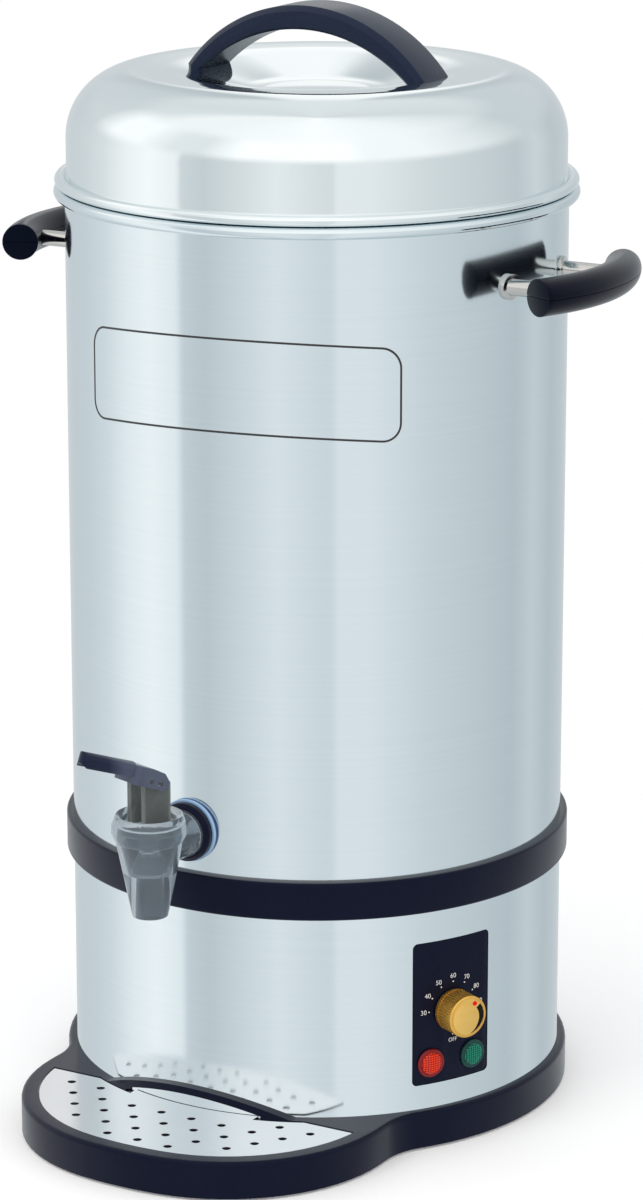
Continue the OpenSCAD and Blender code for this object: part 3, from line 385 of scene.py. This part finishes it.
cameraData = bpy.data.cameras.new("camera")
camera = bpy.data.objects.new("camera", cameraData)
scene.collection.objects.link(camera)
turn = math.radians(view["turn"])
camera.location = (view["distance"] * math.sin(turn), -view["distance"] * math.cos(turn), view["height"])
camera.rotation_euler = (math.radians(90 - view["tilt"]), 0, turn - math.radians(view["yaw"]))
cameraData.lens = view["lens"]
cameraData.sensor_width = view["sensor"]
cameraData.clip_start = view["near"]
scene.camera = camera


# light: a pale round studio with soft panels, brightness by direction round the kettle

studio = {
    "low": [(-180, 0.70), (-150, 0.72), (-130, 0.78), (-112, 0.88), (-96, 1.06), (-82, 1.15), (-66.5, 1.05),
            (-63.5, 0.79), (-52, 0.73), (-36, 0.84), (-18, 0.97), (3, 0.86), (7, 0.86), (9, 0.97), (24, 0.96),
            (52, 0.82), (84, 0.73), (102, 0.67), (118, 0.77), (136, 0.65), (160, 0.68), (180, 0.70)],
    "high": [(-180, 1.14), (-177.5, 1.12), (-175, 0.62), (-164, 0.74), (-130, 0.80), (-112, 1.2), (-92, 1.2),
             (-72, 0.96), (-56, 0.93), (-44, 1.12), (-36, 1.24), (14, 1.24), (24, 1.14), (52, 1.12), (80, 0.98),
             (115, 0.74), (164, 0.74), (173.8, 0.62), (175.8, 1.12), (180, 1.14)],
    "upper": [(-180, 0.92), (-142, 0.86), (-118, 0.9), (-98, 1.1), (-70, 1.1), (0, 1.2), (62, 1.1), (92, 0.98),
              (118, 0.84), (180, 0.92)],
    "highFrom": (0.12, 0.34), "upperFrom": (0.60, 0.78), "tone": (1.15, 1, 0.92),
    "key": {"power": 8, "size": 0.9, "place": (-0.6, -1.9, 2.0), "aim": (0, 0, 0.3)},
}

world = bpy.data.worlds.new("studio")
scene.world = world
world.use_nodes = True
wt = world.node_tree
wt.nodes.clear()
wOut = wt.nodes.new("ShaderNodeOutputWorld")
wShade = wt.nodes.new("ShaderNodeBackground")
wWhite = wt.nodes.new("ShaderNodeBackground")
wMix = wt.nodes.new("ShaderNodeMixShader")
wPath = wt.nodes.new("ShaderNodeLightPath")
wDir = wt.nodes.new("ShaderNodeTexCoord").outputs["Generated"]
wAngle = wt.nodes.new("ShaderNodeMath")
wAngle.operation = "ARCTAN2"
wUp = wt.nodes.new("ShaderNodeSeparateXYZ")
wHigh = wt.nodes.new("ShaderNodeMix")
wHigh.data_type = "RGBA"
wTop = wt.nodes.new("ShaderNodeMix")
wTop.data_type = "RGBA"
wWhite.inputs["Color"].default_value = (1, 1, 1, 1)
link = wt.links.new
link(wDir, wUp.inputs["Vector"])
link(alongDirection(wt, wDir, (math.cos(turn), math.sin(turn), 0)), wAngle.inputs[0])
link(alongDirection(wt, wDir, (math.sin(turn), -math.cos(turn), 0)), wAngle.inputs[1])
wSpan = mapped(wt, wAngle.outputs["Value"], -math.pi, math.pi)


def panelRamp(marks):
    # brightness by direction in degrees from the camera's side, the darker panels a little bluer
    return ramped(wt, wSpan, [((deg + 180) / 360, [level ** p for p in studio["tone"]]) for deg, level in marks])


def rising(limits):
    return mapped(wt, wUp.outputs["Z"], *limits, eased=True)


link(rising(studio["highFrom"]), wHigh.inputs["Factor"])
link(panelRamp(studio["low"]), wHigh.inputs["A"])
link(panelRamp(studio["high"]), wHigh.inputs["B"])
link(rising(studio["upperFrom"]), wTop.inputs["Factor"])
link(wHigh.outputs["Result"], wTop.inputs["A"])
link(panelRamp(studio["upper"]), wTop.inputs["B"])
link(wTop.outputs["Result"], wShade.inputs["Color"])
link(wPath.outputs["Is Camera Ray"], wMix.inputs["Fac"])
link(wShade.outputs["Background"], wMix.inputs[1])
link(wWhite.outputs["Background"], wMix.inputs[2])
link(wMix.outputs["Shader"], wOut.inputs["Surface"])

keyData = bpy.data.lights.new("keyPanel", "AREA")
keyData.energy = studio["key"]["power"]
keyData.size = studio["key"]["size"]
key = bpy.data.objects.new("keyPanel", keyData)
scene.collection.objects.link(key)
key.location = studio["key"]["place"]
key.visible_glossy = False  # lights the blacks and the floor, without its own square on the steel
key.rotation_euler = (Vector(studio["key"]["aim"]) - key.location).to_track_quat("-Z", "Y").to_euler()

# floor, fading into the white around it
floorSpec = {"radius": 0.8, "sides": 96, "colour": 0.93, "rough": 0.6, "spec": 0.2, "fade": (0.30, 0.62),
             "glow": 0.16}
pickNone()
bpy.ops.mesh.primitive_circle_add(vertices=floorSpec["sides"], radius=floorSpec["radius"], fill_type="NGON",
                                  location=(0, 0, 0))
floor = bpy.context.object
floor.name = "floor"
floorFinish, ft, fShader = newFinish("floorWhite")
fShader.inputs["Base Color"].default_value = (floorSpec["colour"],) * 3 + (1,)
fShader.inputs["Roughness"].default_value = floorSpec["rough"]
fShader.inputs["Specular IOR Level"].default_value = floorSpec["spec"]
fShader.inputs["Emission Color"].default_value = (1, 1, 1, 1)
fShader.inputs["Emission Strength"].default_value = floorSpec["glow"]
fPlace = ft.nodes.new("ShaderNodeTexCoord")
fLength = ft.nodes.new("ShaderNodeVectorMath")
fLength.operation = "LENGTH"
fClear = ft.nodes.new("ShaderNodeBsdfTransparent")
fMix = ft.nodes.new("ShaderNodeMixShader")
fOut = next(n for n in ft.nodes if n.type == "OUTPUT_MATERIAL")
ft.links.new(fPlace.outputs["Object"], fLength.inputs[0])
ft.links.new(mapped(ft, fLength.outputs["Value"], *floorSpec["fade"], eased=True), fMix.inputs["Fac"])
ft.links.new(fShader.outputs["BSDF"], fMix.inputs[1])
ft.links.new(fClear.outputs["BSDF"], fMix.inputs[2])
ft.links.new(fMix.outputs["Shader"], fOut.inputs["Surface"])
floor.data.materials.append(floorFinish)
floor.visible_glossy = False  # the steel shows the studio down to its feet
print("camera, light and floor set")


# tank: one turned sheet with its floor and rolled rim

# corner: steps from the wall inwards and from the floor's underside up; underBead: the wall's ends inside and outside
tank = {"r": 140.0, "sheet": 1.0, "low": 149.3, "floor": 160.0, "rim": 515.0, "bead": 3.3, "curlFrom": 165,
        "curlSteps": 26, "corner": [(4, 1), (1.2, 2.0), (0, 5)], "underBead": (2, 4.5)}


def makeTank(t):
    inner = t["r"] - t["sheet"]
    beadX, beadZ = t["r"] + t["bead"] - t["sheet"] / 2, t["rim"] + t["bead"]
    wallAngle = math.degrees(math.acos((t["r"] - beadX) / t["bead"]))
    innerEnd, outerEnd = t["underBead"]
    section = [(0, t["floor"] + t["sheet"])]
    section += [(inner - inward, t["floor"] + rise) for inward, rise in t["corner"]]
    section += [(inner, beadZ - innerEnd)]
    section += arcPoints(beadX, beadZ, t["bead"], t["curlFrom"], -wallAngle, t["curlSteps"])
    section += [(t["r"], beadZ - outerEnd), (t["r"], t["low"]), (inner, t["low"]), (inner, t["floor"]),
                (0, t["floor"])]
    piece = turned(section)
    smoothEdges(piece, meshRules["turnedSmooth"])
    return settle(piece, "tankShell", finishes["satinSteel"], "kettle", ("tank_shell",))


makeTank(tank)


# lid: domed sheet with a shallow dish, a bead over the rim and a locating ring

lid = {"bead": 3.0, "beadZ": 524.9, "wallR": 138.9, "sheet": 1.0, "shoulderR": 38.0, "shoulderZ": 548.0,
       "crestR": 100.0, "crestZ": 586.0, "dishR": 80.0, "dishZ": 585.2, "floorR": 34.0, "floorZ": 574.2,
       "ringR": 137.8, "ringLow": 514.9, "beadX": 142.5, "beadArc": 160, "beadSteps": 24, "shoulderTop": 88,
       "outerSteps": 30, "innerSteps": 20, "dishSteps": 48, "ease": 5, "wallEnd": 3.4, "ringTop": -1.4,
       "innerEnd": 1.5}


def dishLine(g, drop):
    # from the middle out to the crest, eased where the slopes meet
    marks = [(0, g["floorZ"]), (g["floorR"], g["floorZ"]), (g["dishR"], g["dishZ"]), (g["crestR"], g["crestZ"])]

    def height(r):
        for (r0, z0), (r1, z1) in zip(marks, marks[1:]):
            if r <= r1:
                return z0 + (z1 - z0) * (r - r0) / (r1 - r0)
        return g["crestZ"]
    line = []
    for i in range(g["dishSteps"] + 1):
        r = g["crestR"] * i / g["dishSteps"]
        near = [height(min(abs(r + d), g["crestR"] * 2 - abs(r + d))) for d in range(-g["ease"], g["ease"] + 1)]
        line.append((r, sum(near) / len(near) - drop))
    return line


def makeLid(g):
    s = g["sheet"]
    cx = g["wallR"] - g["shoulderR"]
    outer = dishLine(g, 0)
    outer += arcPoints(cx, g["shoulderZ"], g["shoulderR"], g["shoulderTop"], 0, g["outerSteps"])
    outer += [(g["wallR"], g["beadZ"] + g["wallEnd"])]
    outer += arcPoints(g["beadX"], g["beadZ"], g["bead"], g["beadArc"], -g["beadArc"], g["beadSteps"])
    ring = [(g["ringR"], g["beadZ"] + g["ringTop"]), (g["ringR"], g["ringLow"]), (g["ringR"] - s, g["ringLow"]),
            (g["ringR"] - s, g["beadZ"])]
    inner = [(g["wallR"] - s, g["beadZ"] + g["innerEnd"]), (g["wallR"] - s, g["shoulderZ"])]
    inner += arcPoints(cx, g["shoulderZ"], g["shoulderR"] - s, 0, g["shoulderTop"], g["innerSteps"])[1:]
    inner += reversed(dishLine(g, s))
    piece = turned(outer + ring + inner)
    smoothEdges(piece, meshRules["turnedSmooth"])
    return settle(piece, "lidShell", finishes["mirrorSteel"], "lid", ("lid_shell",))


makeLid(lid)
print("tank and lid turned")


# belt and skirt

belt = {"r": 140.0, "out": 4.0, "low": 138.5, "high": 160.0, "soft": 1.4, "softSteps": 6}


def makeBelt(b):
    outR = b["r"] + b["out"]
    section = [(b["r"], b["low"])]
    section += arcPoints(outR - b["soft"], b["low"] + b["soft"], b["soft"], -90, 0, b["softSteps"])
    section += arcPoints(outR - b["soft"], b["high"] - b["soft"], b["soft"], 0, 90, b["softSteps"])
    section += [(b["r"], b["high"])]
    piece = turned(section, True)
    smoothEdges(piece)
    return settle(piece, "beltRing", finishes["blackGloss"], "kettle", ("belt_ring",))


makeBelt(belt)

dressed("base_skirt", "baseSkirt", finishes["satinSteel"], flatten=False)
dressed("base_moulding", "baseMoulding", finishes["blackGloss"], flatten=False, angle=38, weighted=True)
dressed("drip_plate", "dripPlate", finishes["plateSteelHoleShade"], flatten=False)
print("base dressed")


# handles

dressed("lid_handle", "lidHandle", finishes["strapNavy"], bevel=0.8, segments=3)
for side in ("left", "right"):
    dressed(side + "_posts", side + "Posts", finishes["postSteel"], bevel=0.3)
    dressed(side + "_grip_upper", side + "GripUpper", finishes["gripBlack"], bevel=0.5)
    dressed(side + "_grip_lower", side + "GripLower", finishes["gripBlack"], bevel=0.5)
print("handles dressed")


# control panel

# sizes in mm, turns in degrees clockwise from the top; crescent: turn, inner and outer radius of the painted shade in
# the knob's recess
panel = {
    "angle": panelAngle, "z": 78.2, "faceR": 139.7, "dial": (0.4, 0.6), "dotR": 15.5, "dot": 0.42, "dotSides": 16,
    "textR": 18.8, "text": 3.9, "wordScale": 0.85, "thin": 0.03, "proud": 0.1, "textCurve": 4,
    "marks": [("30", -90), ("40", -60), ("50", -30), ("60", 0), ("70", 30), ("80", 60), ("90", 90), ("OFF", 180)],
    "knobTop": 155.6, "inlayR": 10.45, "inlay": (-1.2, -0.15), "inlaySides": 64,
    "spotR": 8.4, "spotTurn": 31, "spot": 1.35, "spotSpan": (-0.6, 0.1), "spotSides": 32,
    "crescentSpan": (-0.3, -0.1),
    "crescent": [(50, 6.4, 10.3), (66, 6.6, 10.3), (83, 6.9, 10.3), (98, 7.2, 10.3), (114, 7.6, 10.2),
                 (130, 8.1, 10.1), (145, 8.7, 10.0), (160, 9.4, 10.0), (172, 9.9, 10.0)],
}


def wallPlace(angle, height, out):
    # a place on the wall: x to the right, y up, z outwards
    turnBy = math.radians(angle)
    right = Vector((math.cos(turnBy), math.sin(turnBy), 0))
    away = Vector((math.sin(turnBy), -math.cos(turnBy), 0))
    place = Matrix((right, Vector((0, 0, 1)), away)).transposed().to_4x4()
    place.translation = away * out / 1000 + Vector((0, 0, height / 1000))
    return place


def clockPoint(r, deg):
    return r * math.sin(math.radians(deg)), r * math.cos(math.radians(deg))


def movedTo(piece, place):
    # puts the place into the mesh and leaves the piece at the origin
    piece.matrix_world = place @ piece.matrix_world
    pickOnly(piece)
    bpy.ops.object.transform_apply(location=True, rotation=True, scale=True)
    return piece


def discOn(place, x, y, r, low, high, sides):
    # a short cylinder standing on a place, sizes in mm
    pickNone()
    bpy.ops.mesh.primitive_cylinder_add(vertices=sides, radius=r / 1000, depth=(high - low) / 1000,
                                        location=(x / 1000, y / 1000, (low + high) / 2000))
    return movedTo(bpy.context.object, place)


def joined(pieces):
    pickNone()
    for piece in pieces:
        piece.select_set(True)
    bpy.context.view_layer.objects.active = pieces[0]
    bpy.ops.object.join()
    return bpy.context.object


def onPanel(d, x, y):
    # a place on the panel's curved face, x mm to the right of the dial's middle and y above it
    right, up = d["dial"]
    return wallPlace(d["angle"] + math.degrees((x + right) / d["faceR"]), d["z"] + y + up, d["faceR"])


def dialText(d, words, turnDeg):
    pickNone()
    bpy.ops.object.text_add(location=(0, 0, 0))
    piece = bpy.context.object
    piece.data.body = words
    piece.data.size = d["text"] / 1000 * (1 if words.isdigit() else d["wordScale"])
    piece.data.align_x = "CENTER"
    piece.data.align_y = "CENTER"
    piece.data.offset = -d["thin"] / 1000
    piece.data.extrude = d["proud"] / 1000
    piece.data.resolution_u = d["textCurve"]
    bpy.ops.object.convert(target="MESH")
    return movedTo(bpy.context.object, onPanel(d, *clockPoint(d["textR"], turnDeg)))


def makeDial(d):
    prints = []
    for words, turnDeg in d["marks"]:
        prints.append(dialText(d, words, turnDeg))
        place = onPanel(d, *clockPoint(d["dotR"], turnDeg))
        prints.append(discOn(place, 0, 0, d["dot"], -d["proud"], d["proud"], d["dotSides"]))
    return settle(joined(prints), "dialPrint", finishes["printWhite"], "kettle")


def makeKnobInlay(d):
    top = wallPlace(d["angle"], d["z"], d["knobTop"])
    face = discOn(top, 0, 0, d["inlayR"], *d["inlay"], d["inlaySides"])
    settle(face, "knobInlay", finishes["goldFace"], "knob")
    # painted shade: a near-black crescent laid on the gold where the recess beside the offset face lies in shade
    outline = [clockPoint(out, deg) for deg, _, out in d["crescent"]]
    outline += [clockPoint(into, deg) for deg, into, _ in reversed(d["crescent"])]
    low, high = d["crescentSpan"]
    mark = lineFrom([(x / 1000, y / 1000, low / 1000) for x, y in outline], True)
    bpy.ops.object.mode_set(mode="EDIT")
    bpy.ops.mesh.select_all(action="SELECT")
    bpy.ops.mesh.fill()
    bpy.ops.mesh.extrude_region_move(TRANSFORM_OT_translate={"value": (0, 0, (high - low) / 1000)})
    bpy.ops.mesh.select_all(action="SELECT")
    bpy.ops.mesh.normals_make_consistent(inside=False)
    bpy.ops.object.mode_set(mode="OBJECT")
    settle(movedTo(mark, top), "knobRecessShade", finishes["paintedRecessShade"], "knob")
    spot = discOn(top, *clockPoint(d["spotR"], d["spotTurn"]), d["spot"], *d["spotSpan"], d["spotSides"])
    smoothEdges(spot)
    settle(spot, "knobSpot", finishes["dotRed"], "knob")


dressed("control_panel", "controlPanel", finishes["panelNavy"], bevel=0.3)
makeDial(panel)
dressed("knob", "knob", finishes["goldSide"], flatten=False, angle=28)
dressed("knob_face", "knobFace", finishes["goldFace"], bevel=0.2)
makeKnobInlay(panel)
dressed("red_lens", "redLens", finishes["lampRed"], bevel=0.3)
dressed("green_lens", "greenLens", finishes["lampGreen"], bevel=0.3)
dressed("lamp_bezels", "lampBezels", finishes["lampRim"], bevel=0.2)
print("panel dressed")


# label: a thin printed outline round a bare field on the tank

label = {"angle": 9.4, "z": 429.5, "w": 191.6, "h": 50.5, "corner": 10.5, "bow": 5.0, "wire": 0.75, "sunk": 0.4,
         "step": 4.0, "cornerSteps": 10, "sideMarks": (0.4, 0, -0.4), "wireCurve": 2, "smooth": 60}


def roundedPath(g):
    # points round a rectangle with round corners, in mm
    w, h, corner = g["w"], g["h"], g["corner"]
    count = int((w - 2 * corner) / g["step"])
    path = []
    for sx, sy, start in ((1, 1, 90), (1, -1, 0), (-1, -1, -90), (-1, 1, 180)):
        path += arcPoints(sx * (w / 2 - corner), sy * (h / 2 - corner), corner, start, start - 90, g["cornerSteps"])
        if sy == sx:
            path += [(sx * w / 2, sy * h / 2 * f) for f in g["sideMarks"]]
        else:
            path += [(sx * (w / 2 - corner) * (1 - 2 * i / count), sy * h / 2) for i in range(1, count)]
    return path


def makeLabel(g):
    r = tank["r"] - g["sunk"]
    points = []
    for x, y in roundedPath(g):
        lift = g["bow"] * (1 - (2 * x / g["w"]) ** 2)  # the outline rides up a little in the middle
        points.append(wallPlace(g["angle"] + math.degrees(x / tank["r"]), g["z"] + y + lift, r).translation[:])
    line = lineFrom(points, True)
    pickOnly(line)
    bpy.ops.object.convert(target="CURVE")
    line = bpy.context.object
    line.data.bevel_depth = g["wire"] / 1000
    line.data.bevel_resolution = g["wireCurve"]
    bpy.ops.object.convert(target="MESH")
    line = bpy.context.object
    smoothEdges(line, g["smooth"])
    return settle(line, "labelOutline", finishes["printBlack"], "kettle")


makeLabel(label)
print("label drawn")


# tap

dressed("tap_washer", "tapWasher", finishes["washerShadedEdges"], bevel=0.3)
dressed("tap_collar", "tapCollar", finishes["blackGloss"], bevel=0.4)
dressed("tap_body", "tapBody", finishes["smokeClear"], bevel=0.4)
dressed("tap_bonnet", "tapBonnet", finishes["smokeClear"], bevel=0.5)
dressed("fork_bracket", "forkBracket", finishes["smokeDark"], bevel=0.4)
dressed("tap_lever", "tapLever", finishes["leverHeadHighlight"], bevel=0.5)
# hidden from reflections, because their images on the steel come out far darker than in the photo
noImages = ("tapLever", "forkBracket", "tapBody", "tapBonnet", "valve_stem", "lever_pin", "stem_pin", "seat_cup",
            "return_spring", "baseMoulding")
for name in noImages:
    bpy.data.objects[name].visible_glossy = False
print("tap dressed")


# plain finishes for the nodes that stay as they are

plainNodes = {
    "plainSteel": ["joint_band", "base_screws", "lid_handle_screws", "handle_screws", "thermostat_shaft",
                   "thermostat_nut", "return_spring"],
    "pinDark": ["stem_pin", "lever_pin"],
    "sealWhite": ["tap_inner_seal", "seat_cup", "tap_nut", "valve_stem"],
    "footRubber": ["feet"], "coverGrey": ["bottom_cover"], "glandBlack": ["cable_gland", "gland_nut"],
    "controlGrey": ["thermostat", "safety_cutout", "terminal_block", "lamp_bodies"],
    "elementDark": ["heating_element"], "castPlate": ["element_plate"], "bulbCopper": ["sensor_bulb"],
}
for finishName, names in plainNodes.items():
    for n in names:
        nodes[n].data.materials.clear()
        nodes[n].data.materials.append(finishes[finishName])
print("plain nodes finished")
